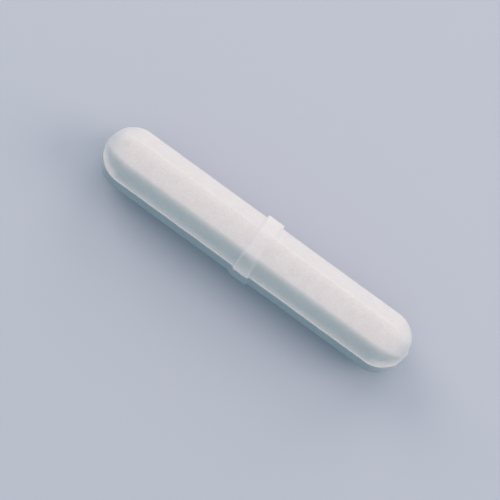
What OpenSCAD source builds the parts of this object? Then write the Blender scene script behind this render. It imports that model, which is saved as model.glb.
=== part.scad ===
// Magnetic stir bar: an octagonal PTFE moulding with domed ends and a pivot ring
// round its middle, closed round a cylindrical AlNiCo magnet.
// The bar lies along X on its pivot ring. The origin is on the surface it lies on,
// under the middle of the bar. Millimetres, +Z up.

/* [Bar] */
// Overall length, from tip to tip
bar_length = 45; // [30:0.5:80]
// Width of the bar across two opposite faces
bar_across_flats = 7.5; // [6.5:0.1:12]
// How far each tip is flattened short of a full dome
tip_flat = 0.05; // [0.03:0.01:0.2]
// How far the long edges are rounded back from a sharp corner
edge_round = 0.05; // [0.03:0.01:0.12]

/* [Pivot ring] */
// Width of the ring along the bar
ring_width = 2.3; // [1.5:0.1:4]
// Height of the ring above the bar's faces
ring_height = 0.36; // [0.25:0.01:0.8]
// Radius of the rounding along the ring's two rims
ring_rim_radius = 0.12; // [0.05:0.01:0.2]
// Length of the slow rise from the bar to the foot of the ring
ring_flare_length = 0.8; // [0.4:0.05:1.5]
// Height of that rise at the foot of the ring
ring_flare_height = 0.09; // [0.04:0.01:0.2]

/* [Parting line] */
// Thickness of the ridge that the mould's joint leaves along the bar
flash_thickness = 0.12; // [0.06:0.01:0.2]
// Height of the ridge above the surface it runs along
flash_height = 0.05; // [0.03:0.01:0.12]
// How far the lower half of the mould sat out of line with the upper one, along the bar
mould_mismatch = 0.15; // [0.05:0.01:0.3]

/* [Magnet] */
// Diameter of the magnet
magnet_diameter = 5; // [3:0.1:5.5]
// Thickness of solid PTFE between each tip and the magnet's end
end_wall = 4.5; // [2.5:0.1:8]
// Bevel round the magnet's two ends
magnet_bevel = 0.4; // [0.2:0.05:0.8]
// Clearance between the magnet and the PTFE that shrank round it
magnet_clearance = 0.02; // [0.01:0.01:0.1]

/* [Hidden] */
$fn = 96;

faces = 8;
face_angle = 360 / faces;
// A regular octagon's corners lie further out than its faces by this factor
corner_factor = 1 / cos(face_angle / 2);
// The mould parts through two opposite corners of the octagon, and the bar lies
// on a face, so the parting plane leans by half the angle between two faces
parting_angle = face_angle / 2;

bar_apothem = bar_across_flats / 2;
ring_apothem = bar_apothem + ring_height;
// Radii that the rounded long edges of the bar and the ring lie on
bar_edge_radius = bar_apothem * corner_factor - edge_round;
ring_edge_radius = ring_apothem * corner_factor - edge_round;
axis_height = ring_apothem;

// The two halves of the moulding have this length without the ridge, and lie out
// of line by the mismatch
half_length = bar_length - mould_mismatch - 2 * flash_height;
magnet_length = bar_length - 2 * end_wall;
// Room for a half of the moulding to be cut out of
block = 2 * bar_length;
flare_radius = (pow(ring_flare_length, 2) + pow(ring_flare_height, 2)) / (2 * ring_flare_height);

// Turn something that stands along Z to lie along X
module lay_along_x() {
    rotate([0, 90, 0]) children();
}

// Plan of a bar with round ends, flattened at the tips, drawn this far outside itself
module bar_outline(radius, outside) {
    dome_x = half_length / 2 + tip_flat - radius;
    reach = radius + outside;
    intersection() {
        union() {
            square([2 * dome_x, 2 * reach], center = true);
            for (side = [-1, 1])
                translate([side * dome_x, 0]) circle(r = reach);
        }
        square([half_length + 2 * outside, 4 * radius], center = true);
    }
}

// Outline of the ring, with its rims rounded
module ring_outline(radius, outside) {
    inner_width = ring_width - 2 * ring_rim_radius;
    inner_radius = radius - ring_rim_radius;
    square([inner_width, 2 * (radius + outside)], center = true);
    square([ring_width + 2 * outside, 2 * inner_radius], center = true);
    for (x = [-1, 1], y = [-1, 1])
        translate([x * inner_width / 2, y * inner_radius]) circle(r = ring_rim_radius + outside);
}

// The slow rise from the bar to the ring, hollow like a fillet
module flare_outline(radius, outside) {
    foot_x = ring_width / 2;
    centre_height = radius + flare_radius;
    for (side = [-1, 1])
        intersection() {
            translate([side * (foot_x + ring_flare_length / 2), 0])
                square([ring_flare_length, 2 * centre_height], center = true);
            difference() {
                square([block, 2 * centre_height], center = true);
                for (up = [-1, 1])
                    translate([side * (foot_x + ring_flare_length), up * centre_height])
                        circle(r = flare_radius - outside);
            }
        }
}

// Half-widths of the whole moulding along its length, drawn as a closed outline
module moulding_outline(bar_radius, ring_radius, outside = 0) {
    bar_outline(bar_radius, outside);
    ring_outline(ring_radius, outside);
    flare_outline(bar_radius, outside);
}

// A solid whose every cross-section is a regular octagon, as wide as the outline there
module octagonal_solid() {
    intersection_for (turn = [0 : faces / 2 - 1])
        rotate([turn * face_angle, 0, 0])
            linear_extrude(height = 4 * ring_apothem, center = true)
                moulding_outline(bar_apothem, ring_apothem);
}

// The round solid that the octagon's corners are rounded back to
module edge_envelope() {
    lay_along_x()
        rotate_extrude()
            intersection() {
                rotate(90) moulding_outline(bar_edge_radius, ring_edge_radius);
                translate([0, -block / 2]) square([2 * ring_edge_radius, block]);
            }
}

// The thin ridge along the joint of the mould, on the parting plane
module flash_ridge() {
    linear_extrude(height = flash_thickness, center = true)
        moulding_outline(bar_edge_radius, ring_edge_radius, flash_height);
}

// The moulding as one cavity of the mould would make it, parting plane level
module moulding() {
    rotate([parting_angle, 0, 0])
        intersection() {
            octagonal_solid();
            edge_envelope();
        }
    flash_ridge();
}

// What one half of the mould makes: side is 1 for the upper half, -1 for the lower
module mould_half(side) {
    translate([-side * mould_mismatch / 2, 0, 0])
        intersection() {
            moulding();
            translate([0, 0, side * block / 2]) cube(block, center = true);
        }
}

// The magnet's own form, grown by a clearance to make the room it sits in
module magnet_form(clearance) {
    radius = magnet_diameter / 2 + clearance;
    end = magnet_length / 2 + clearance;
    lay_along_x()
        rotate_extrude()
            polygon([
                [0, -end],
                [radius - magnet_bevel, -end],
                [radius, magnet_bevel - end],
                [radius, end - magnet_bevel],
                [radius - magnet_bevel, end],
                [0, end]
            ]);
}

// White PTFE jacket with its pivot ring, one moulding
module ptfe_jacket() {
    color([0.93, 0.93, 0.92])
        translate([0, 0, axis_height])
            difference() {
                rotate([-parting_angle, 0, 0]) {
                    mould_half(1);
                    mould_half(-1);
                }
                magnet_form(magnet_clearance);
            }
}

// AlNiCo bar magnet sealed in the jacket
module bar_magnet() {
    color([0.45, 0.45, 0.47])
        translate([0, 0, axis_height])
            magnet_form(0);
}

ptfe_jacket();
bar_magnet();
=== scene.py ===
"""Dresses the magnetic stir bar: its moulded PTFE jacket, the magnet in it, and the stage."""

import math

import bpy
import numpy as np
from mathutils import Matrix, Vector, noise


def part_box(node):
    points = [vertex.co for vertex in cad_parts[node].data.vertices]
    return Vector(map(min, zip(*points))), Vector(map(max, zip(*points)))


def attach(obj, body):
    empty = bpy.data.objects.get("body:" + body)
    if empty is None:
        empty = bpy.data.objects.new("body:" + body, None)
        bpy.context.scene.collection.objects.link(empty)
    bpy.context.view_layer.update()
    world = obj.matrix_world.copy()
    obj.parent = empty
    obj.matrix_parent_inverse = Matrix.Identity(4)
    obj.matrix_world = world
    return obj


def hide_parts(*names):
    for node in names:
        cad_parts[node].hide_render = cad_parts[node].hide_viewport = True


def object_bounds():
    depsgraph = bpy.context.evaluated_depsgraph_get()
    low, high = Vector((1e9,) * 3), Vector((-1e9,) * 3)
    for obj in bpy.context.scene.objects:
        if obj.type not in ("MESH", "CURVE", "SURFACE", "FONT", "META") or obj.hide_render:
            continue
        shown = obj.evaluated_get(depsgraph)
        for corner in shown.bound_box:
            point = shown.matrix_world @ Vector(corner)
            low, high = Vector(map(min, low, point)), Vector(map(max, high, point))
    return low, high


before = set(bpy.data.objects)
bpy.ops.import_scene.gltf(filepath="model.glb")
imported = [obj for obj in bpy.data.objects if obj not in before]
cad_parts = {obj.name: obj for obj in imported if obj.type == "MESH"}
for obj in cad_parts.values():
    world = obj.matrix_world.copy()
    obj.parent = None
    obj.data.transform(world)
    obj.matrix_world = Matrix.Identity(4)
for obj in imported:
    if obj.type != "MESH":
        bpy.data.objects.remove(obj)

bl_info = {
    "name": "Magnetic Stir Bar",
    "version": (1, 0, 0),
    "blender": (4, 5, 0),
    "location": "3D Viewport > Sidebar > Stir Bar",
    "description": "Moulds the PTFE jacket of a magnetic stir bar, finishes its magnet and sets its stage",
    "category": "Object",
}

MM = 0.001
CAD_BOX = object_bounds()
JACKET_NODE = "ptfe_jacket"
MAGNET_NODE = "bar_magnet"
JACKET_LOW, JACKET_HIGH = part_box(JACKET_NODE)

# The section of the bar is an octagon that lies on one face. Angles go round the bar's
# axis from straight up towards the front, which is -Y
FACES = 8
FACE_STEP = 2 * math.pi / FACES
HALF_STEP = FACE_STEP / 2
CORNER_FACTOR = 1 / math.cos(HALF_STEP)
# The mould parts through the corner between the upper front face and the front face, and
# each half of it is deepest at a corner of the octagon, its ridge
PARTING_ANGLE = 3 * HALF_STEP
UPPER, LOWER = 1, -1
RIDGE_ANGLE = {UPPER: PARTING_ANGLE - math.pi / 2, LOWER: PARTING_ANGLE + math.pi / 2}
# Keeps a division from running into zero
TINY = 1e-9


def direction(angle):
    """The direction (y, z) at an angle round the bar's axis."""
    return np.array([-math.sin(angle), math.cos(angle)])


# Directions (x, y, z) along the parting plane to the front, and square to that plane
FRONTWARDS = np.array([0.0, *direction(PARTING_ANGLE)])
PARTING_NORMAL = np.array([0.0, *direction(PARTING_ANGLE - math.pi / 2)])


def smooth_step(value, low, high):
    """0 below low, 1 above high, and a smooth rise between them."""
    share = np.clip((value - low) / (high - low), 0.0, 1.0)
    return share * share * (3 - 2 * share)


def soft_ramp(value):
    """0 for low values, the value itself for high ones, and a soft bend round zero."""
    return np.logaddexp(0.0, value)


# ---------------------------------------------------------------- sizes and colours


class StirBarJacketSettings(bpy.types.PropertyGroup):
    """Sizes of the moulded jacket."""

    bar_length: bpy.props.FloatProperty(
        name="Bar Length", description="Overall length, from tip to tip",
        default=JACKET_HIGH[0] - JACKET_LOW[0], min=0.03, max=0.08,
        subtype="DISTANCE", unit="LENGTH", precision=5)
    across_flats: bpy.props.FloatProperty(
        name="Across Flats", description="Width of the bar across two opposite faces",
        default=0.0075, min=0.0065, max=0.012,
        subtype="DISTANCE", unit="LENGTH", precision=5)
    tip_flat: bpy.props.FloatProperty(
        name="Tip Flat", description="How far each tip is flattened short of a full dome",
        default=0.00005, min=0.00003, max=0.0002,
        subtype="DISTANCE", unit="LENGTH", precision=6)
    edge_fillet: bpy.props.FloatProperty(
        name="Edge Fillet", description="Radius of the rounding along the long edges",
        default=0.00016, min=0.00005, max=0.0006,
        subtype="DISTANCE", unit="LENGTH", precision=6)
    ring_width: bpy.props.FloatProperty(
        name="Ring Width", description="Width of the pivot ring along the bar",
        default=0.0023, min=0.0015, max=0.004,
        subtype="DISTANCE", unit="LENGTH", precision=5)
    ring_height: bpy.props.FloatProperty(
        name="Ring Height", description="Height of the pivot ring above the bar's faces",
        default=0.00036, min=0.00025, max=0.0008,
        subtype="DISTANCE", unit="LENGTH", precision=6)
    flare_length: bpy.props.FloatProperty(
        name="Flare Length", description="Length of the slow rise from the bar to the ring",
        default=0.001, min=0.0004, max=0.0015,
        subtype="DISTANCE", unit="LENGTH", precision=5)
    flare_height: bpy.props.FloatProperty(
        name="Flare Height", description="Height of that rise at the foot of the ring",
        default=0.00005, min=0.0, max=0.0002,
        subtype="DISTANCE", unit="LENGTH", precision=6)
    mould_mismatch: bpy.props.FloatProperty(
        name="Mould Mismatch", description="How far the two halves of the mould sat out of line",
        default=0.00008, min=0.0, max=0.0003,
        subtype="DISTANCE", unit="LENGTH", precision=6)
    lip_width: bpy.props.FloatProperty(
        name="Lip Width", description="Width of the thin lip that was trimmed along the parting line",
        default=0.00013, min=0.00005, max=0.0003,
        subtype="DISTANCE", unit="LENGTH", precision=6)
    lip_thickness: bpy.props.FloatProperty(
        name="Lip Thickness", description="Thickness of that lip above the parting line",
        default=0.00005, min=0.00003, max=0.0001,
        subtype="DISTANCE", unit="LENGTH", precision=6)
    crown: bpy.props.FloatProperty(
        name="Crown", description="How full the two faces beside the ridge stand",
        default=0.0004, min=0.0, max=0.0008,
        subtype="DISTANCE", unit="LENGTH", precision=6)
    crown_reach: bpy.props.FloatProperty(
        name="Crown Reach", description="Distance over which those faces rise from the ridge",
        default=0.001, min=0.0003, max=0.003,
        subtype="DISTANCE", unit="LENGTH", precision=6)
    shoulder: bpy.props.FloatProperty(
        name="Shoulder", description="How full the steep faces stand below their upper edge",
        default=0.00045, min=0.0, max=0.0006,
        subtype="DISTANCE", unit="LENGTH", precision=6)
    hollow: bpy.props.FloatProperty(
        name="Hollow", description="Depth of the hollow in which the steep faces run out to the lip",
        default=0.00013, min=0.0, max=0.0003,
        subtype="DISTANCE", unit="LENGTH", precision=6)
    magnet_diameter: bpy.props.FloatProperty(
        name="Magnet Diameter", description="Diameter of the hollow that the magnet fills",
        default=0.00504, min=0.003, max=0.0055,
        subtype="DISTANCE", unit="LENGTH", precision=6)
    magnet_bevel: bpy.props.FloatProperty(
        name="Magnet Bevel", description="Bevel round the two ends of that hollow",
        default=0.0004, min=0.0002, max=0.0008,
        subtype="DISTANCE", unit="LENGTH", precision=6)
    unevenness: bpy.props.FloatProperty(
        name="Unevenness", description="How far the moulded surface wanders from its true form",
        default=0.000012, min=0.0, max=0.00005,
        subtype="DISTANCE", unit="LENGTH", precision=6)


class StirBarFinishSettings(bpy.types.PropertyGroup):
    """Colours of the two pieces."""

    ptfe_colour: bpy.props.FloatVectorProperty(
        name="PTFE", description="Colour of the moulded PTFE",
        default=(0.9, 0.9, 0.885), size=3, min=0.0, max=1.0, subtype="COLOR")
    magnet_colour: bpy.props.FloatVectorProperty(
        name="Magnet", description="Colour of the ground AlNiCo magnet",
        default=(0.38, 0.38, 0.4), size=3, min=0.0, max=1.0, subtype="COLOR")


class StirBarStageSettings(bpy.types.PropertyGroup):
    """Floor, lamps and camera."""

    floor_colour: bpy.props.FloatVectorProperty(
        name="Floor", description="Colour of the floor as the camera sees it",
        default=(0.62, 0.7, 0.78), size=3, min=0.0, max=1.0, subtype="COLOR")
    bounce_colour: bpy.props.FloatVectorProperty(
        name="Floor Bounce", description="Colour of the light that the floor throws back",
        default=(0.0, 0.0, 0.143), size=3, min=0.0, max=1.0, subtype="COLOR")
    side_power: bpy.props.FloatProperty(
        name="Side Power", description="Power of each of the two soft boxes at the bar's ends",
        default=1.275, min=0.0, max=50.0, unit="POWER")
    back_power: bpy.props.FloatProperty(
        name="Back Power", description="Power of the low soft box behind the bar",
        default=0.796, min=0.0, max=50.0, unit="POWER")
    lamp_colour: bpy.props.FloatVectorProperty(
        name="Lamp Colour", description="Colour of the soft boxes",
        default=(1.0, 0.794, 0.746), size=3, min=0.0, max=1.0, subtype="COLOR")
    lamp_size: bpy.props.FloatProperty(
        name="Lamp Size", description="Width of each square soft box",
        default=0.4, min=0.05, max=3.0, subtype="DISTANCE", unit="LENGTH")
    lamp_distance: bpy.props.FloatProperty(
        name="Lamp Distance", description="Distance of the soft boxes from the bar",
        default=0.6, min=0.2, max=5.0, subtype="DISTANCE", unit="LENGTH")
    fill_low: bpy.props.FloatVectorProperty(
        name="Fill Low", description="Colour of the light from all round, level with the floor",
        default=(0.165, 0.579, 0.565), size=3, min=0.0, max=2.0, subtype="COLOR")
    fill_high: bpy.props.FloatVectorProperty(
        name="Fill High", description="Colour of the light from straight above",
        default=(0.597, 0.431, 0.5), size=3, min=0.0, max=2.0, subtype="COLOR")
    view_width: bpy.props.FloatProperty(
        name="View Width", description="Width of the picture at the bar",
        default=0.06104, min=0.03, max=0.5, subtype="DISTANCE", unit="LENGTH", precision=5)
    view_distance: bpy.props.FloatProperty(
        name="View Distance", description="Distance of the camera from the bar",
        default=0.4, min=0.1, max=2.0, subtype="DISTANCE", unit="LENGTH")


# ---------------------------------------------------------------- the section of the bar

# Lengths from here on are in millimetres, unless a comment gives another unit.
# Divisions of a face beside a ridge, as shares of its width from the ridge
RIDGE_FACE_SHARES = (0.045, 0.09, 0.14, 0.2, 0.27, 0.35, 0.45, 0.56, 0.68, 0.8, 0.9)
# Divisions of the upper part of a steep face, below a full corner and below a rounded one
FULL_CORNER_SHARES = (0.02, 0.045, 0.075, 0.11, 0.155, 0.21, 0.28, 0.37, 0.46)
ROUNDED_CORNER_SHARES = (0.1, 0.25)
# Divisions of its lower part, as distances from the parting line. They don't shrink with
# the dome until the face gets narrow
PARTING_STATIONS = (
    0.0, 0.02, 0.041, 0.059, 0.075, 0.1, 0.14, 0.2, 0.28, 0.38, 0.5, 0.64, 0.8, 0.98, 1.18, 1.4)
# Divisions of the rounding along the ridge, and of the one along the other corners
RIDGE_STEPS, CORNER_STEPS = 4, 6
# Rounding of the upper half's rear corner, which is plainer than the front one
REAR_ROUNDING = 0.32
# The steep faces run out in a hollow this long, or over this share of a narrower face
HOLLOW_RUN, HOLLOW_SHARE = 0.93, 0.7
# The lip's edge lies this far inside the octagon's corner, and the face below it as well
EDGE_INSET = 0.06
# There is less room for the lip where the dome is smaller than this share of the bar
LIP_ROOM_SIZE = 0.4
# A steep face is bent to end on the parting plane. A higher number keeps the bend closer to it
PLANE_BEND = 10


def crown_form(distance, height, reach, width):
    """How far a face next to the ridge stands out of its plane, at a distance from the ridge."""
    rise = height * (1 - np.exp(-distance / reach))
    return rise - height * (1 - math.exp(-width / reach)) * distance / width


def shoulder_form(distance, fullness, hollow, run_out, lip, width):
    """How far a steep face stands out of its plane, at a distance from its upper edge.

    The face leaves its neighbour without an edge, falls a little more steeply than the
    octagon and runs out in a hollow towards the parting line, where it stops short of the lip.
    """
    start = width - min(run_out, HOLLOW_SHARE * width)
    rise = fullness * (1 - np.exp(-distance / max(fullness, TINY)))
    lift = hollow * np.clip((distance - start) / (width - start), 0, None) ** 2
    return rise + lift - (fullness + hollow + lip) * distance / width


def steep_face_form(distance, front, size, width, settings):
    """How far a steep face of the upper half stands out of its plane."""
    fullness = settings.shoulder / MM if front else 0.0
    hollow = settings.hollow / MM
    lip = (settings.lip_width / MM + EDGE_INSET) * math.cos(HALF_STEP)
    lip *= smooth_step(size, 0.0, LIP_ROOM_SIZE)
    form = shoulder_form(
        distance / size, fullness, hollow, HOLLOW_RUN / size, lip / size, width / size)
    return size * form


def turned(angle):
    """Unit vectors out of and along a face whose normal is this far round from the ridge."""
    out = np.array([math.sin(angle), math.cos(angle)])
    return out, np.array([out[1], -out[0]])


def corner_points(apothem, radius, corner, turns):
    """Points on the rounding of the corner that lies this far round from the ridge."""
    centre = (apothem - radius) * CORNER_FACTOR * turned(corner)[0]
    return centre + radius * np.column_stack([np.sin(turns), np.cos(turns)])


def face_points(apothem, angle, distances, form):
    """Points on the face whose normal is this far round from the ridge.

    Distances run from the face's upper edge, and form is how far it stands out of its plane.
    """
    out, along = turned(angle)
    from_middle = distances - apothem * math.tan(HALF_STEP)
    return (apothem + form)[:, None] * out + from_middle[:, None] * along


def quarter_section(side, front, apothem, settings):
    """Points from the ridge of one half of the mould down to its parting line.

    The first coordinate runs along the parting plane and the second one up to the ridge.
    """
    size = apothem / (settings.across_flats / MM / 2)
    half_width = apothem * math.tan(HALF_STEP)
    width = 2 * half_width
    radius = settings.edge_fillet / MM * size
    full_corner = side == UPPER and front
    corner_radius = REAR_ROUNDING * size if side == UPPER else radius
    inset = radius * math.tan(HALF_STEP)
    corner_inset = 0.0 if full_corner else corner_radius * math.tan(HALF_STEP)

    def crowned(distance):
        crown = settings.crown / MM if full_corner else 0.0
        return size * crown_form(distance / size, crown, settings.crown_reach / MM, width / size)

    # the ridge's rounding and the face beside it
    ridge = corner_points(apothem, radius, 0.0, HALF_STEP * np.arange(RIDGE_STEPS) / RIDGE_STEPS)
    ridge += crowned(ridge[:, 0])[:, None] * turned(HALF_STEP)[0]
    beside = np.concatenate([[inset], np.array(RIDGE_FACE_SHARES) * width, [width - corner_inset]])
    parts = [ridge, face_points(apothem, HALF_STEP, beside, crowned(beside))]

    # the corner below it, full or rounded
    if full_corner:
        start = np.array(FULL_CORNER_SHARES) * width
    else:
        turns = HALF_STEP + FACE_STEP * np.arange(1, CORNER_STEPS) / CORNER_STEPS
        parts.append(corner_points(apothem, corner_radius, FACE_STEP, turns))
        start = np.concatenate([[corner_inset], np.array(ROUNDED_CORNER_SHARES) * width])

    # the steep face, bent to end on the parting plane
    near = np.array(PARTING_STATIONS) * min(1.0, half_width / PARTING_STATIONS[-1])
    down = np.concatenate([start, width - near[::-1]])
    if side == UPPER:
        form = steep_face_form(down, front, size, width, settings)
    else:
        form = -EDGE_INSET * smooth_step(size, 0.0, LIP_ROOM_SIZE) * (down / width) ** 3
    steep = face_points(apothem, 3 * HALF_STEP, down, form)
    steep[:, 1] -= steep[-1, 1] * np.exp(-PLANE_BEND * (1 - down / width))
    return np.concatenate([*parts, steep])


def half_section(side, apothem, settings):
    """Points (y, z) round one half of the section with this apothem, corner to corner."""
    back = quarter_section(side, False, apothem, settings)
    front = quarter_section(side, True, apothem, settings)
    whole = np.concatenate([back[:0:-1] * [-1, 1], front])
    ridge = RIDGE_ANGLE[side]
    return whole @ np.array([direction(ridge + math.pi / 2), direction(ridge)])


# ---------------------------------------------------------------- the bar along its length

# How full the domes are (left, right): 2 is round, and more is fuller
DOME_POWER = {UPPER: (2.0, 2.08), LOWER: (2.0, 2.0)}
# The pivot ring and most of its flares lie within this distance of the middle
RING_REACH = 2.4
# Divisions of a dome, of the bar between dome and ring, and of the ring with its flares
DOME_STEPS, BAR_STEPS, RING_STEPS = 44, 134, 161
# Divisions of a tip's flat end, as shares of its radius
TIP_SHARES = (0.05, 0.12, 0.22, 0.36, 0.54, 0.76)


def length_stations(side, settings):
    """Places along the bar and the apothem at each, from the left tip to the right one."""
    full = settings.across_flats / MM / 2
    half_length = (settings.bar_length - settings.mould_mismatch) / MM / 2
    flat = settings.tip_flat / MM
    centre = half_length + flat - full
    turns = np.linspace(math.acos(1 - flat / full), math.pi / 2, DOME_STEPS)

    def end_rows(power):
        dome = [(centre + full * math.cos(turn), full * (1 - math.cos(turn) ** power) ** (1 / power))
                for turn in turns]
        tip = [(half_length, share * dome[0][1]) for share in TIP_SHARES]
        return tip + dome + [(x, full) for x in np.linspace(centre, RING_REACH, BAR_STEPS)[1:]]

    left_power, right_power = DOME_POWER[side]
    left = [(-x, apothem) for x, apothem in end_rows(left_power)]
    middle = [(x, full) for x in np.linspace(-RING_REACH, RING_REACH, RING_STEPS)[1:-1]]
    return left + middle + end_rows(right_power)[::-1]


# The ring by angle round the bar, in degrees: how much lower it is than its full height,
# where its left flank is half way up and half that flank's length, and the same on the right.
# It stands sharply at the corners but runs out softly over the upper faces
RING_FORM = {
    UPPER: (
        (-112.5, 0.0, -1.2, 0.02, 1.13, 0.03),
        (-67.5, 0.0, -1.2, 0.02, 1.13, 0.03),
        (-64.0, 0.14, -1.16, 0.25, 1.1, 0.35),
        (0.0, 0.2, -1.15, 0.35, 1.05, 0.42),
        (22.5, 0.19, -1.08, 0.25, 0.85, 0.4),
        (35.0, 0.17, -1.07, 0.18, 0.86, 0.33),
        (50.0, 0.15, -1.09, 0.14, 0.95, 0.2),
        (67.5, 0.0, -0.97, 0.12, 1.1, 0.04),
    ),
    LOWER: (
        (67.5, 0.13, -1.1, 0.2, 1.2, 0.06),
        (112.5, 0.1, -1.17, 0.43, 1.39, 0.08),
        (135.0, 0.04, -1.15, 0.3, 1.3, 0.1),
        (180.0, 0.0, -1.1, 0.15, 1.2, 0.1),
        (247.5, 0.0, -1.1, 0.1, 1.2, 0.1),
    ),
}
# Those places are given for a ring of this width
RING_FORM_WIDTH = 2.3
# The flares beside the ring fall away over the first share of their length, and end at the
# second one
FLARE_FALL, FLARE_END = 0.4, 1.5


def ring_rise(x, angle, side, settings):
    """How far the surface lies outside the bar's own section, near the pivot ring."""
    degrees = np.degrees(angle)
    if side == LOWER:
        degrees = degrees % 360
    table = np.array(RING_FORM[side]).T
    drop, left, left_flank, right, right_flank = (
        np.interp(degrees, table[0], row) for row in table[1:])
    extra = (settings.ring_width / MM - RING_FORM_WIDTH) / 2
    left, right = left - extra, right + extra
    run = settings.flare_length / MM
    outside = np.maximum(np.maximum(left - x, x - right), 0)
    flare = settings.flare_height / MM * np.exp(-outside / (FLARE_FALL * run))
    flare = flare * (1 - smooth_step(outside, run, FLARE_END * run))
    top = settings.ring_height / MM - drop
    on_ring = smooth_step(x, left - left_flank, left + left_flank)
    on_ring = on_ring * (1 - smooth_step(x, right - right_flank, right + right_flank))
    return flare + (top - flare) * on_ring


def plain_surface(side, settings):
    """Grid of points of one half, rows along the bar and columns round it, before its lip."""
    rows = []
    for x, apothem in length_stations(side, settings):
        section = half_section(side, apothem, settings)
        rows.append(np.column_stack([np.full(len(section), x), section]))
    grid = np.array(rows)
    grid[..., 0] -= side * settings.mould_mismatch / MM / 2
    angle = np.arctan2(-grid[..., 1], grid[..., 2])
    rise = ring_rise(grid[..., 0], angle, side, settings)
    grid[..., 1:] *= (1 + rise / (settings.across_flats / MM / 2))[..., None]
    return grid


# ---------------------------------------------------------------- caps, lip and tool marks

# The surface is a little uneven, as it came from the mould: waves as (strength, length, seed),
# and how far each step of the seed moves the noise
SURFACE_WAVES = ((1.0, 3.2, 1), (0.4, 1.1, 2), (0.12, 0.35, 3))
SEED_SHIFT = (17.3, 5.1, 9.7)
# The caps are half circles in plan, round a centre this far from the middle of the bar
CAP_CENTRE = 18.7
# Round the front of the caps the surface flares out to the lip. The flare comes in between
# these distances from the middle. Then its size, how softly it starts, and its height
# (left, right)
CAP_ZONE = (18.4, 20.2)
CAP_FLARE = 0.3
CAP_FLARE_START = 0.25
CAP_FLARE_HEIGHT = (0.46, 0.6)
# Towards the tips it gets so much larger and taller, between these turns to the front (1 is
# the front and 0 the tip), and it fades out between those
TIP_FLARE = 0.32
TIP_FLARE_HEIGHT = 1.0
TIP_ZONE = (0.1, 0.75)
FLARE_ZONE = (-0.5, 0.4)
# The caps were cut back by so much (left, right), most of all half way from front to tip
CAP_FRONT_CUT = (0.1, 0.21)
# Height over which all that is blended into the domes
BLEND_HEIGHT = {UPPER: 3.75, LOWER: 2.6}
# Share of the lip's width for which room is made behind the tips
REAR_LIP_ROOM = 0.3
# The lip's trimmed edge wanders: waves as above, and how far apart the two halves lie in them
LIP_WAVES = ((0.044, 2.3, 4), (0.028, 0.7, 5))
LIP_WAVES_APART = 10.0
# Nicks and bumps in its front edge: place along the bar, half width, how far it stands out
NOTCHES = ((-19.05, 0.13, -0.09), (17.9, 0.35, -0.035), (-18.6, 0.25, 0.03))
# The upper half's lip ends between these shares of its thickness, and a small fillet leads
# from it to the face: the share at which it starts, its size and its reach
LIP_TOP = (0.82, 1.18)
FILLET_START, FILLET_SIZE, FILLET_REACH = 1.1, 0.03, 0.045
# The lower half has only a bead there, of this size and height
BEAD_SIZE, BEAD_HEIGHT = 0.01, 0.09
# A burr on the left cap: place along the bar, angle round it, radius and height
BURR_PLACE, BURR_ANGLE, BURR_RADIUS, BURR_HEIGHT = -21.4, -1.178, 0.16, 0.05
# A knife took a slice off each tip. It leaned this far from upright towards the front, which
# gives its direction across the bar. Each cut: the way it faced along and across the bar, how
# far out it was, and where across the bar it ran out in the lower half
KNIFE_LEAN = math.radians(13.9)
KNIFE_ACROSS = np.array([0.0, -math.cos(KNIFE_LEAN), -math.sin(KNIFE_LEAN)])
KNIFE_CUTS = (
    ((-0.947, 0.32), 21.33, (1.48, 1.88)),
    ((0.968, 0.25), 21.7, (1.35, 1.75)),
)
# The edges of those slices are rounded over about this distance
KNIFE_SOFTNESS = 0.06


def waves(points, table):
    """Smooth noise at each point: the sum of waves given as (strength, length, seed)."""
    total = np.zeros(points.shape[:-1])
    for strength, length, seed in table:
        shift = Vector([seed * step for step in SEED_SHIFT])
        values = [noise.noise(Vector(p) / length + shift) for p in points.reshape(-1, 3)]
        total += strength * np.array(values).reshape(total.shape)
    return total


def outward_normals(grid):
    """Unit normals of a grid of points, rows along the bar and columns round it."""
    normals = np.cross(np.gradient(grid, axis=1), np.gradient(grid, axis=0))
    normals = normals / np.maximum(np.linalg.norm(normals, axis=2, keepdims=True), TINY)
    outwards = np.sum(normals * grid * [0, 1, 1])
    return normals if outwards > 0 else -normals


def lip_directions(grid, normals):
    """Unit vectors out of the bar along its parting plane."""
    flat = normals - (normals @ PARTING_NORMAL)[..., None] * PARTING_NORMAL
    flat /= np.maximum(np.linalg.norm(flat, axis=2, keepdims=True), TINY)
    # between the caps they point straight to the front or back, over the ring's flanks as well
    straight = np.sign(grid @ FRONTWARDS)[..., None] * FRONTWARDS
    return np.where((np.abs(grid[..., 0]) < CAP_ZONE[0])[..., None], straight, flat)


def turn_to_front(grid):
    """How far each point lies to the front of a cap's middle: 1 in front, 0 at the tip, -1 behind."""
    beyond = np.maximum(np.abs(grid[..., 0]) - CAP_CENTRE, 0)
    sideways = grid @ FRONTWARDS
    return sideways / np.maximum(np.hypot(beyond, sideways), TINY)


def cap_flare(x, forward):
    """Size and height of the flare that leads the surface out to the lip."""
    at_tip = 1 - smooth_step(forward, *TIP_ZONE)
    size = (CAP_FLARE + TIP_FLARE * at_tip) * smooth_step(np.abs(x), *CAP_ZONE)
    height = np.where(x < 0, *CAP_FLARE_HEIGHT) + TIP_FLARE_HEIGHT * at_tip
    return size * smooth_step(forward, *FLARE_ZONE), height


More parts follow.
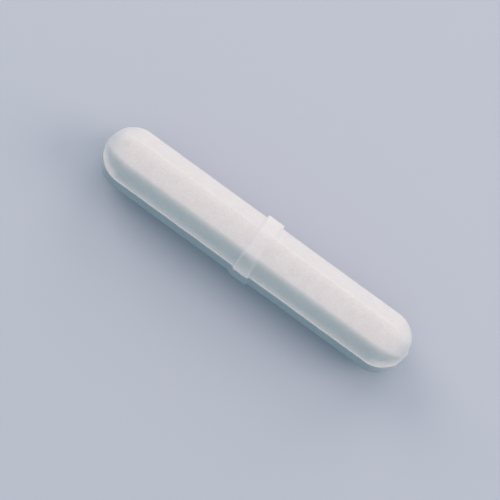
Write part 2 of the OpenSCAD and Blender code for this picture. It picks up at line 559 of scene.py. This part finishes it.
def lip_room(side, x, forward, height, flare, settings):
    """How far the surface is drawn in to leave room for the lip and its flare, and cut back."""
    short = 1 - np.abs(forward)
    in_front = smooth_step(forward, *FLARE_ZONE)
    room = EDGE_INSET * short * in_front
    room = room + np.where(x < 0, *CAP_FRONT_CUT) * 4 * forward**2 * (1 - forward**2) * (forward > 0)
    if side == LOWER:
        return room * (1 - smooth_step(height, 0.0, BLEND_HEIGHT[LOWER]))
    room = room + flare + settings.lip_width / MM * short * np.maximum(in_front, REAR_LIP_ROOM)
    return room * np.clip(1 - height / BLEND_HEIGHT[UPPER], 0, 1)


def lip_trim(side, x, across):
    """How far the lip's edge, trimmed by hand, wanders from its true line."""
    edge_line = np.stack([x, np.full_like(x, LIP_WAVES_APART * side), across], axis=-1)
    trim = waves(edge_line, LIP_WAVES)
    if side == UPPER:
        for place, half_width, depth in NOTCHES:
            trim += (across > 0) * depth * np.exp(-((x - place) / half_width) ** 2)
    return trim


def lip_form(side, height, trim, flare, flare_height, settings):
    """How far the lip and its flare stand out, by height above or below the parting plane."""
    if side == LOWER:
        return (BEAD_SIZE + trim) * (1 - smooth_step(height, 0.0, BEAD_HEIGHT))
    thickness = settings.lip_thickness / MM
    on_lip = 1 - smooth_step(height, LIP_TOP[0] * thickness, LIP_TOP[1] * thickness)
    fillet = FILLET_SIZE * np.exp(-np.maximum(height - FILLET_START * thickness, 0) / FILLET_REACH)
    rise = flare * CAP_FLARE_START * soft_ramp((1 - height / flare_height) / CAP_FLARE_START)
    return rise + (settings.lip_width / MM + trim) * on_lip + fillet * (1 - on_lip)


def burr_form(grid, x):
    """How far the burr on the left cap stands out."""
    angle = np.arctan2(-grid[..., 1], grid[..., 2])
    around = (angle - BURR_ANGLE) * np.hypot(grid[..., 1], grid[..., 2])
    return BURR_HEIGHT * np.exp(-((x - BURR_PLACE) ** 2 + around**2) / BURR_RADIUS**2)


def knife_slice(grid, side, towards, distance, run_out):
    """The grid with a slice taken off one tip."""
    outwards = np.array([towards[0], 0.0, 0.0]) + towards[1] * KNIFE_ACROSS
    depth = KNIFE_SOFTNESS * soft_ramp((grid @ outwards - distance) / KNIFE_SOFTNESS)
    if side == LOWER:
        depth = depth * (1 - smooth_step(grid @ KNIFE_ACROSS, *run_out))
    return grid - depth[..., None] * outwards


def half_surface(side, settings):
    """Grid of points of one half of the jacket, about the bar's own axis."""
    grid = plain_surface(side, settings)
    x = grid[..., 0]
    height = np.abs(grid @ PARTING_NORMAL)
    normals = outward_normals(grid)
    outwards = lip_directions(grid, normals)
    grid = grid + normals * (settings.unevenness / MM * waves(grid, SURFACE_WAVES))[..., None]

    forward = turn_to_front(grid)
    flare, flare_height = cap_flare(x, forward)
    grid = grid - outwards * lip_room(side, x, forward, height, flare, settings)[..., None]
    trim = lip_trim(side, x, grid @ FRONTWARDS)
    grid = grid + outwards * lip_form(side, height, trim, flare, flare_height, settings)[..., None]

    if side == UPPER:
        grid = grid + normals * burr_form(grid, x)[..., None]
    for cut in KNIFE_CUTS:
        grid = knife_slice(grid, side, *cut)
    return grid


# ---------------------------------------------------------------- the jacket's mesh

# Light is painted into the PTFE's colour in three places, 5 % paler for each 1 of painted light.
# The pivot ring has 1 of painted light, rising and falling between these places along the bar
PAINTED_RING_LEFT, PAINTED_RING_RIGHT = (-1.15, -0.85), (0.6, 0.95)
# The tips have this much painted light: it rises between these distances from the middle, and fades
# out between these turns to the front and to the back
TIP_PAINTED_LIGHT = 2.0
PAINTED_TIPS = (20.0, 21.4)
PAINTED_TIP_FRONT, PAINTED_TIP_BACK = (0.15, 0.55), (-0.9, -0.35)
# A painted highlight along the ridge of the upper half: its half width, and how its painted light
# varies along the bar as (place, painted light)
HIGHLIGHT_LINE_WIDTH = 0.05
HIGHLIGHT_LINE = (
    (-21.0, 0.0), (-19.9, 0.6), (-19.4, 2.0), (-17.6, 2.0), (-17.0, 1.1), (-11.0, 1.1),
    (-10.5, 1.6), (-6.0, 1.4), (-1.6, 1.4), (-1.3, 0.0), (1.3, 0.0), (1.6, 1.0),
    (9.5, 1.1), (16.0, 1.3), (18.4, 0.8), (19.4, 0.0),
)
# Divisions of the magnet's room round the bar
MAGNET_ROOM_STEPS = 64
# Edges sharper than this are shaded as edges
SHARP_ANGLE = math.radians(38)


def painted_light(grid, side):
    """How much light is painted into the PTFE's colour at each point of one half."""
    x = grid[..., 0]
    # painted light on the pivot ring
    painted_lightness = smooth_step(x, *PAINTED_RING_LEFT) * (1 - smooth_step(x, *PAINTED_RING_RIGHT))
    # painted light at the tips
    forward = turn_to_front(grid)
    round_tip = smooth_step(forward, *PAINTED_TIP_BACK) * (1 - smooth_step(forward, *PAINTED_TIP_FRONT))
    painted_lightness = painted_lightness + TIP_PAINTED_LIGHT * smooth_step(np.abs(x), *PAINTED_TIPS) * round_tip
    # painted highlight along the ridge
    if side == UPPER:
        angle = np.arctan2(-grid[..., 1], grid[..., 2])
        away = (angle - RIDGE_ANGLE[UPPER]) * np.hypot(grid[..., 1], grid[..., 2])
        ridge_highlight = np.interp(x, *np.array(HIGHLIGHT_LINE).T)
        painted_lightness = np.maximum(painted_lightness, ridge_highlight * np.exp(-(away / HIGHLIGHT_LINE_WIDTH) ** 2))
    return painted_lightness


def skin_faces(rows, columns, split, tips):
    """Faces over the grid of both halves, closed round the bar, and a fan over each tip.

    The upper half's columns come before split. A tip has a middle point for each half.
    """
    faces = []
    for i in range(rows - 1):
        for j in range(columns):
            k = (j + 1) % columns
            faces.append((i * columns + j, i * columns + k, (i + 1) * columns + k, (i + 1) * columns + j))
    for row, (upper, lower), flipped in ((0, tips[0], False), (rows - 1, tips[1], True)):
        base = row * columns
        for j in range(columns):
            k = (j + 1) % columns
            if j == split - 1:
                face = (base + k, base + j, upper, lower)
            elif j == columns - 1:
                face = (base + k, base + j, lower, upper)
            else:
                face = (base + k, base + j, upper if j < split else lower)
            faces.append(face[::-1] if flipped else face)
    return faces


def add_magnet_room(points, faces, settings):
    """The closed hollow in the jacket that the magnet fills, facing inwards."""
    steps, bevel = MAGNET_ROOM_STEPS, settings.magnet_bevel / MM
    radius = settings.magnet_diameter / MM / 2
    magnet_low, magnet_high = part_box(MAGNET_NODE)
    clearance = radius - magnet_high[1] / MM
    low, high = magnet_low[0] / MM - clearance, magnet_high[0] / MM + clearance
    profile = [(low, radius - bevel), (low + bevel, radius), (high - bevel, radius), (high, radius - bevel)]
    start = len(points)
    for x, r in profile:
        for k in range(steps):
            turn = 2 * math.pi * k / steps
            points.append([x, r * math.cos(turn), r * math.sin(turn)])
    for row in range(len(profile) - 1):
        for k in range(steps):
            a, b = start + row * steps + k, start + row * steps + (k + 1) % steps
            faces.append((a + steps, b + steps, b, a))
    for row, flipped in ((0, False), (len(profile) - 1, True)):
        rim = [start + row * steps + k for k in range(steps)]
        middle = len(points)
        points.append([profile[row][0], 0.0, 0.0])
        for k in range(steps):
            face = (rim[k], rim[(k + 1) % steps], middle)
            faces.append(face[::-1] if flipped else face)


def build_jacket_mesh(settings):
    """The jacket's mesh, closed, in metres, standing on its ring."""
    halves = [half_surface(UPPER, settings), half_surface(LOWER, settings)]
    grid = np.concatenate(halves, axis=1)
    rows, columns = grid.shape[:2]
    points = grid.reshape(-1, 3).tolist()
    tips = []
    for row in (0, rows - 1):
        tips.append((len(points), len(points) + 1))
        points += [[float(half[row][:, 0].mean()), 0.0, 0.0] for half in halves]
    faces = skin_faces(rows, columns, halves[0].shape[1], tips)
    add_magnet_room(points, faces, settings)

    axis_height = (settings.across_flats / 2 + settings.ring_height) / MM
    coordinates = (np.array(points) + [0, 0, axis_height]) * MM
    mesh = bpy.data.meshes.new("moulded_jacket")
    mesh.from_pydata(coordinates.tolist(), [], faces)
    # painted light at each point, which the material turns into a paler colour
    painted_lightness = np.concatenate([painted_light(halves[0], UPPER), painted_light(halves[1], LOWER)], axis=1)
    values = np.zeros(len(points), dtype=np.float32)
    values[:painted_lightness.size] = painted_lightness.ravel()
    mesh.attributes.new("painted_light", "FLOAT", "POINT").data.foreach_set("value", values)
    mesh.validate()
    mesh.shade_smooth()
    mesh.set_sharp_from_angle(angle=SHARP_ANGLE)
    return mesh


# ---------------------------------------------------------------- materials

# Noises on the object's own coordinates: waves to the metre, and detail
MOTTLE = (900.0, 3.0)
GRAIN = (5200.0, 2.0)
SURFACE_BUMPS = (4200.0, 4.0)
GRINDING_MARKS = (1500.0, 5.0)
# The range of each value, and the factors on the colour that it is carried over to
MOTTLE_RANGE, MOTTLE_SHADES = (0.3, 0.7), (0.965, 1.0)
GRAIN_RANGE, GRAIN_SHADES = (0.25, 0.75), (0.95, 1.05)
# painted light: the jacket's painted light makes the colour up to 10 % paler
PAINTED_LIGHT_RANGE, PAINTED_LIGHT_SHADES = (0.0, 2.0), (1.0, 1.1)
# The PTFE's roughness over the mottle, its refraction and the strength of its bumps, and how
# far light wanders below its surface: shares by colour of a distance in metres
PTFE_ROUGHNESS = (0.44, 0.56)
PTFE_IOR = 1.35
PTFE_BUMP = 0.45
PTFE_LIGHT_SHARES = (1.0, 0.95, 0.9)
PTFE_LIGHT_REACH = 0.00028
# Specks in the surface: place, radius, factor on the colour in the middle
SPECKS = (
    ((-14.657, -0.15, 7.978), 0.09, 0.78),
    ((-17.124, 1.346, 7.905), 0.08, 0.84),
    ((18.371, 2.036, 7.373), 0.1, 0.72),
    ((12.063, 0.553, 7.988), 0.08, 0.84),
    ((-4.322, -1.162, 7.901), 0.08, 0.84),
    ((1.161, -0.029, 8.06), 0.08, 0.86),
    ((14.482, 0.302, 7.991), 0.13, 1.05),
    ((-20.159, 0.391, 7.725), 0.5, 0.96),
)
# A speck's middle is even over this share of its radius
SPECK_MIDDLE = 0.3
# The magnet's grinding marks run round it, and are darker than its colour by this factor
MARKS_STRETCH = (6.0, 0.4, 0.4)
MARKS_SHADE = 0.75
MAGNET_ROUGHNESS = (0.35, 0.6)
MAGNET_BUMP = 0.25
# Height of all the bumps, in metres
BUMP_HEIGHT = 0.00003
# Sockets of a node that mixes two colours
FIRST_COLOUR, SECOND_COLOUR, MIXED_COLOUR = 6, 7, 2


def new_material(name):
    """An empty node material with a principled shader, and its node tree."""
    material = bpy.data.materials.new(name)
    material.use_nodes = True
    tree = material.node_tree
    tree.nodes.clear()
    output = tree.nodes.new("ShaderNodeOutputMaterial")
    shader = tree.nodes.new("ShaderNodeBsdfPrincipled")
    tree.links.new(shader.outputs["BSDF"], output.inputs["Surface"])
    return material, tree, shader


def add_noise(tree, place, scale, detail):
    """A noise texture, as a value."""
    texture = tree.nodes.new("ShaderNodeTexNoise")
    texture.inputs["Scale"].default_value = scale
    texture.inputs["Detail"].default_value = detail
    tree.links.new(place, texture.inputs["Vector"])
    return texture.outputs["Fac"]


def add_range(tree, value, source, target):
    """Carry a value from one range over to another."""
    ranged = tree.nodes.new("ShaderNodeMapRange")
    for name, number in zip(("From Min", "From Max", "To Min", "To Max"), (*source, *target)):
        ranged.inputs[name].default_value = number
    tree.links.new(value, ranged.inputs["Value"])
    return ranged.outputs["Result"]


def add_math(tree, operation, first, second):
    """A sum, product or the like of two values."""
    result = tree.nodes.new("ShaderNodeMath")
    result.operation = operation
    tree.links.new(first, result.inputs[0])
    tree.links.new(second, result.inputs[1])
    return result.outputs["Value"]


def add_bumps(tree, shader, height, strength):
    """Give a shader small bumps of this height."""
    bump = tree.nodes.new("ShaderNodeBump")
    bump.inputs["Strength"].default_value = strength
    bump.inputs["Distance"].default_value = BUMP_HEIGHT
    tree.links.new(height, bump.inputs["Height"])
    tree.links.new(bump.outputs["Normal"], shader.inputs["Normal"])


def add_colour_mix(tree, share):
    """A node that mixes two colours, with so much of the second one."""
    mix = tree.nodes.new("ShaderNodeMix")
    mix.data_type = "RGBA"
    tree.links.new(share, mix.inputs["Factor"])
    return mix


def seen_by_camera(tree):
    """1 for camera, glossy and transmission rays, 0 for the rest."""
    path = tree.nodes.new("ShaderNodeLightPath")
    first = add_math(tree, "MAXIMUM", path.outputs["Is Camera Ray"], path.outputs["Is Glossy Ray"])
    return add_math(tree, "MAXIMUM", first, path.outputs["Is Transmission Ray"])


def add_speck(tree, place, middle, radius, level):
    """1 away from a speck, and its own level in the middle of it."""
    away = tree.nodes.new("ShaderNodeVectorMath")
    away.operation = "DISTANCE"
    away.inputs[1].default_value = [c * MM for c in middle]
    tree.links.new(place, away.inputs[0])
    return add_range(
        tree, away.outputs["Value"], (SPECK_MIDDLE * radius * MM, radius * MM), (level, 1.0))


def ptfe_material(colour):
    """Waxy moulded PTFE: light wanders a little way under its surface, which is mottled, finely
    grained and bumpy, and carries a few specks. Light and a highlight are painted into its colour
    in some places, which makes it paler there."""
    material, tree, shader = new_material("moulded_ptfe")
    shader.inputs["IOR"].default_value = PTFE_IOR
    shader.inputs["Subsurface Weight"].default_value = 1.0
    shader.inputs["Subsurface Radius"].default_value = PTFE_LIGHT_SHARES
    shader.inputs["Subsurface Scale"].default_value = PTFE_LIGHT_REACH
    place = tree.nodes.new("ShaderNodeTexCoord").outputs["Object"]
    # the jacket's painted light, which makes the colour paler
    painted_lightness = tree.nodes.new("ShaderNodeAttribute")
    painted_lightness.attribute_name = "painted_light"
    mottle = add_noise(tree, place, *MOTTLE)
    shade = add_range(tree, mottle, MOTTLE_RANGE, MOTTLE_SHADES)
    factors = [
        add_range(tree, add_noise(tree, place, *GRAIN), GRAIN_RANGE, GRAIN_SHADES),
        add_range(tree, painted_lightness.outputs["Fac"], PAINTED_LIGHT_RANGE, PAINTED_LIGHT_SHADES),
        *(add_speck(tree, place, *speck) for speck in SPECKS),
    ]
    for factor in factors:
        shade = add_math(tree, "MULTIPLY", shade, factor)
    base = tree.nodes.new("ShaderNodeVectorMath")
    base.operation = "SCALE"
    base.inputs[0].default_value = colour
    tree.links.new(shade, base.inputs["Scale"])
    tree.links.new(base.outputs["Vector"], shader.inputs["Base Color"])
    roughness = add_range(tree, mottle, MOTTLE_RANGE, PTFE_ROUGHNESS)
    tree.links.new(roughness, shader.inputs["Roughness"])
    add_bumps(tree, shader, add_noise(tree, place, *SURFACE_BUMPS), PTFE_BUMP)
    return material


def magnet_material(colour):
    """Ground AlNiCo: dull grey metal with fine grinding marks round it."""
    material, tree, shader = new_material("ground_alnico")
    shader.inputs["Metallic"].default_value = 1.0
    place = tree.nodes.new("ShaderNodeTexCoord")
    stretch = tree.nodes.new("ShaderNodeMapping")
    stretch.inputs["Scale"].default_value = MARKS_STRETCH
    tree.links.new(place.outputs["Object"], stretch.inputs["Vector"])
    marks = add_noise(tree, stretch.outputs["Vector"], *GRINDING_MARKS)
    ramp = tree.nodes.new("ShaderNodeValToRGB")
    ramp.color_ramp.elements[0].color = (*[c * MARKS_SHADE for c in colour], 1.0)
    ramp.color_ramp.elements[1].color = (*colour, 1.0)
    tree.links.new(marks, ramp.inputs["Fac"])
    tree.links.new(ramp.outputs["Color"], shader.inputs["Base Color"])
    roughness = add_range(tree, marks, (0.0, 1.0), MAGNET_ROUGHNESS)
    tree.links.new(roughness, shader.inputs["Roughness"])
    add_bumps(tree, shader, marks, MAGNET_BUMP)
    return material


def floor_material(seen, bounce):
    """Pale floor that throws back a bluer, weaker light than the camera sees."""
    material, tree, shader = new_material("stage_floor")
    shader.inputs["Roughness"].default_value = 1.0
    shader.inputs["Specular IOR Level"].default_value = 0.0
    mix = add_colour_mix(tree, seen_by_camera(tree))
    mix.inputs[FIRST_COLOUR].default_value = (*bounce, 1.0)
    mix.inputs[SECOND_COLOUR].default_value = (*seen, 1.0)
    tree.links.new(mix.outputs[MIXED_COLOUR], shader.inputs["Base Color"])
    return material


# ---------------------------------------------------------------- the stage, in metres

# Half the floor's width, its divisions along each side, and how far below the bar it lies
FLOOR_REACH = 1.5
FLOOR_STEPS = 12
FLOOR_GAP = 0.00001
# Where each soft box stands from the bar: along it, to the back and up
SIDE_BOXES = {"left_soft_box": (-1.4, 0.574, 0.819), "right_soft_box": (1.4, 0.574, 0.819)}
BACK_BOX = {"back_soft_box": (0.0, 0.94, 0.342)}
# How far the camera leans from straight above towards the front, and how far it is rolled
CAMERA_LEAN = math.radians(13.9)
CAMERA_ROLL = math.radians(36.07)
# Width of its sensor in millimetres, and the distances between which it sees
SENSOR_WIDTH = 36.0
NEAREST, FARTHEST = 0.01, 10.0
# Width of the picture in pixels, and where the bar's middle stands in it from the top left
PICTURE_WIDTH = 500
BAR_MIDDLE = (256.0, 249.9)


def lay_floor(scene, stage):
    """A wide, level floor that carries the bar and its shadow."""
    steps = FLOOR_STEPS
    sides = [FLOOR_REACH * (2 * i / steps - 1) for i in range(steps + 1)]
    points = [(x, y, 0.0) for x in sides for y in sides]
    faces = []
    for i in range(steps):
        for j in range(steps):
            corner = i * (steps + 1) + j
            faces.append((corner, corner + steps + 1, corner + steps + 2, corner + 1))
    mesh = bpy.data.meshes.new("floor")
    mesh.from_pydata(points, [], faces)
    floor = bpy.data.objects.new("floor", mesh)
    scene.collection.objects.link(floor)
    floor.location.z = CAD_BOX[0][2] - FLOOR_GAP
    mesh.materials.append(floor_material(stage.floor_colour, stage.bounce_colour))


def hang_soft_box(scene, stage, name, towards, power):
    """One square soft box that faces the bar."""
    lamp = bpy.data.lights.new(name, "AREA")
    lamp.shape = "SQUARE"
    lamp.size = stage.lamp_size
    lamp.energy = power
    lamp.color = stage.lamp_colour
    box = bpy.data.objects.new(name, lamp)
    scene.collection.objects.link(box)
    away = Vector(towards).normalized()
    box.location = away * stage.lamp_distance
    box.rotation_euler = away.to_track_quat("Z", "Y").to_euler()


def hang_lamps(scene, stage):
    """A soft box off each end of the bar and a weaker one behind it."""
    for boxes, power in ((SIDE_BOXES, stage.side_power), (BACK_BOX, stage.back_power)):
        for name, towards in boxes.items():
            hang_soft_box(scene, stage, name, towards, power)


def add_fill_light(scene, stage):
    """Soft light from all round, which the camera sees as a backdrop in the floor's colour."""
    world = bpy.data.worlds.new("studio")
    world.use_nodes = True
    tree = world.node_tree
    tree.nodes.clear()
    output = tree.nodes.new("ShaderNodeOutputWorld")
    background = tree.nodes.new("ShaderNodeBackground")
    tree.links.new(background.outputs["Background"], output.inputs["Surface"])
    place = tree.nodes.new("ShaderNodeTexCoord")
    split = tree.nodes.new("ShaderNodeSeparateXYZ")
    tree.links.new(place.outputs["Generated"], split.inputs["Vector"])
    fill = add_colour_mix(tree, split.outputs["Z"])
    fill.inputs[FIRST_COLOUR].default_value = (*stage.fill_low, 1.0)
    fill.inputs[SECOND_COLOUR].default_value = (*stage.fill_high, 1.0)
    mix = add_colour_mix(tree, seen_by_camera(tree))
    tree.links.new(fill.outputs[MIXED_COLOUR], mix.inputs[FIRST_COLOUR])
    mix.inputs[SECOND_COLOUR].default_value = (*stage.floor_colour, 1.0)
    tree.links.new(mix.outputs[MIXED_COLOUR], background.inputs["Color"])
    scene.world = world


def point_camera(scene, stage, jacket):
    """The camera above the bar, leaning to the front and rolled, a little off its middle."""
    camera = bpy.data.cameras.new("camera")
    camera.sensor_width = SENSOR_WIDTH
    camera.lens = SENSOR_WIDTH * stage.view_distance / stage.view_width
    camera.clip_start, camera.clip_end = NEAREST, FARTHEST
    eye = bpy.data.objects.new("camera", camera)
    scene.collection.objects.link(eye)
    back = Vector((0.0, -math.sin(CAMERA_LEAN), math.cos(CAMERA_LEAN)))
    level = Vector((0.0, math.cos(CAMERA_LEAN), math.sin(CAMERA_LEAN)))
    along = Vector((1.0, 0.0, 0.0))
    right = along * math.cos(CAMERA_ROLL) + level * math.sin(CAMERA_ROLL)
    up = -along * math.sin(CAMERA_ROLL) + level * math.cos(CAMERA_ROLL)
    pixel = stage.view_width / PICTURE_WIDTH
    target = Vector((0.0, 0.0, jacket.across_flats / 2 + jacket.ring_height))
    target -= right * (BAR_MIDDLE[0] - PICTURE_WIDTH / 2) * pixel
    target += up * (BAR_MIDDLE[1] - PICTURE_WIDTH / 2) * pixel
    turn = Matrix((right, up, back)).transposed().to_4x4()
    eye.matrix_world = Matrix.Translation(target + back * stage.view_distance) @ turn
    scene.camera = eye


# ---------------------------------------------------------------- operators


class STIRBAR_OT_build_jacket(bpy.types.Operator):
    """Mould the jacket with its pivot ring and parting line"""

    bl_idname = "stirbar.build_jacket"
    bl_label = "Build Jacket"

    def execute(self, context):
        settings = context.scene.stir_bar_jacket
        finish = context.scene.stir_bar_finish
        jacket = bpy.data.objects.new("moulded_jacket", build_jacket_mesh(settings))
        context.scene.collection.objects.link(jacket)
        jacket.data.materials.append(ptfe_material(finish.ptfe_colour))
        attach(jacket, "root")
        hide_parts(JACKET_NODE)
        return {"FINISHED"}


class STIRBAR_OT_finish_magnet(bpy.types.Operator):
    """Give the sealed magnet its ground metal finish"""

    bl_idname = "stirbar.finish_magnet"
    bl_label = "Finish Magnet"

    def execute(self, context):
        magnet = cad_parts[MAGNET_NODE]
        material = magnet_material(context.scene.stir_bar_finish.magnet_colour)
        if magnet.material_slots:
            for slot in magnet.material_slots:
                slot.material = material
        else:
            magnet.data.materials.append(material)
        return {"FINISHED"}


class STIRBAR_OT_set_stage(bpy.types.Operator):
    """Lay the floor, hang the lamps and point the camera"""

    bl_idname = "stirbar.set_stage"
    bl_label = "Set Stage"

    def execute(self, context):
        stage = context.scene.stir_bar_stage
        lay_floor(context.scene, stage)
        hang_lamps(context.scene, stage)
        add_fill_light(context.scene, stage)
        point_camera(context.scene, stage, context.scene.stir_bar_jacket)
        context.scene.view_settings.view_transform = "Standard"
        return {"FINISHED"}


class STIRBAR_PT_panel(bpy.types.Panel):
    """Lists the stir bar's steps"""

    bl_idname = "STIRBAR_PT_panel"
    bl_label = "Magnetic Stir Bar"
    bl_space_type = "VIEW_3D"
    bl_region_type = "UI"
    bl_category = "Stir Bar"

    def draw(self, context):
        layout = self.layout
        for group in ("stir_bar_jacket", "stir_bar_finish", "stir_bar_stage"):
            settings = getattr(context.scene, group)
            box = layout.box()
            for name in settings.__annotations__:
                box.prop(settings, name)
        for operator in OPERATORS:
            layout.operator(operator.bl_idname)


SETTINGS = {
    "stir_bar_jacket": StirBarJacketSettings,
    "stir_bar_finish": StirBarFinishSettings,
    "stir_bar_stage": StirBarStageSettings,
}
OPERATORS = (STIRBAR_OT_build_jacket, STIRBAR_OT_finish_magnet, STIRBAR_OT_set_stage)


def register():
    """Make the settings, operators and panel known to Blender."""
    for cls in (*SETTINGS.values(), *OPERATORS, STIRBAR_PT_panel):
        bpy.utils.register_class(cls)
    for name, cls in SETTINGS.items():
        setattr(bpy.types.Scene, name, bpy.props.PointerProperty(type=cls))


def unregister():
    """Take them out again."""
    for name in SETTINGS:
        delattr(bpy.types.Scene, name)
    for cls in reversed((*SETTINGS.values(), *OPERATORS, STIRBAR_PT_panel)):
        bpy.utils.unregister_class(cls)


def main():
    """Build the stir bar on its stage."""
    register()
    bpy.ops.stirbar.build_jacket()
    bpy.ops.stirbar.finish_magnet()
    bpy.ops.stirbar.set_stage()


if __name__ == "__main__":
    main()
